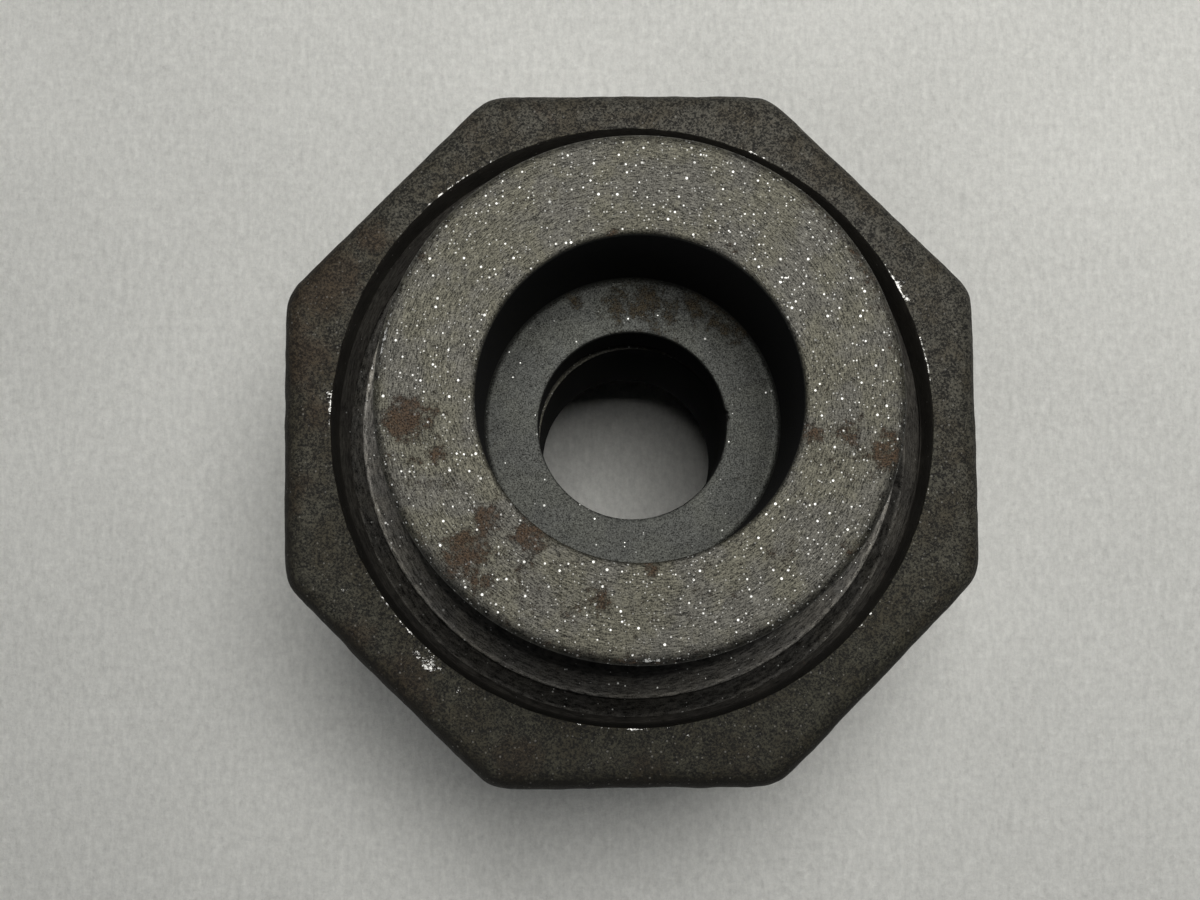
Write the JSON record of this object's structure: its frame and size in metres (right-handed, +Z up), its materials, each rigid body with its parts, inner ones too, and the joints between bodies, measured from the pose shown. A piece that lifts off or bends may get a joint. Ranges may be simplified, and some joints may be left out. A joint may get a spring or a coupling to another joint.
{
  "type": "socket weld pipe union",
  "caption": "Forged steel pipe union with plain weld sockets at both ends, a ball and cone seat, and an octagonal nut that screws over the threaded end.",
  "frame": {"origin": "on the bore axis, at the centre of the tail's end face that the union stands on", "axes": "+Z up along the bore towards the thread end's face; +X and +Y square to two flats of the nut"},
  "size_m": [0.034, 0.034, 0.0413],
  "materials": {
    "turned_steel": "lathe-turned carbon steel, grey with fine facing rings, sparse rust bloom",
    "forged_steel": "as-forged scale, dark grey-brown and pebbled, rust along the edges"
  },
  "bodies": {
    "tail": {"tail": "turned_steel"},
    "nut": {"union_nut": "forged_steel"},
    "thread_end": {"thread_end": "turned_steel"}
  },
  "joints": [
    {"name": "nut_turn", "type": "hinge", "parent": "tail", "child": "nut", "pos_m": [0, 0, 0.02065], "axis": [0, 0, -1], "range_deg": [0, 2160]},
    {"name": "thread_end_rise", "type": "slide", "parent": "tail", "child": "thread_end", "axis": [0, 0, 1], "range_m": [0, 0.00953]}
  ],
  "couplings": [
    {"joint": "thread_end_rise", "follows": "nut_turn", "m_per_rad": 0.00025266}
  ]
}
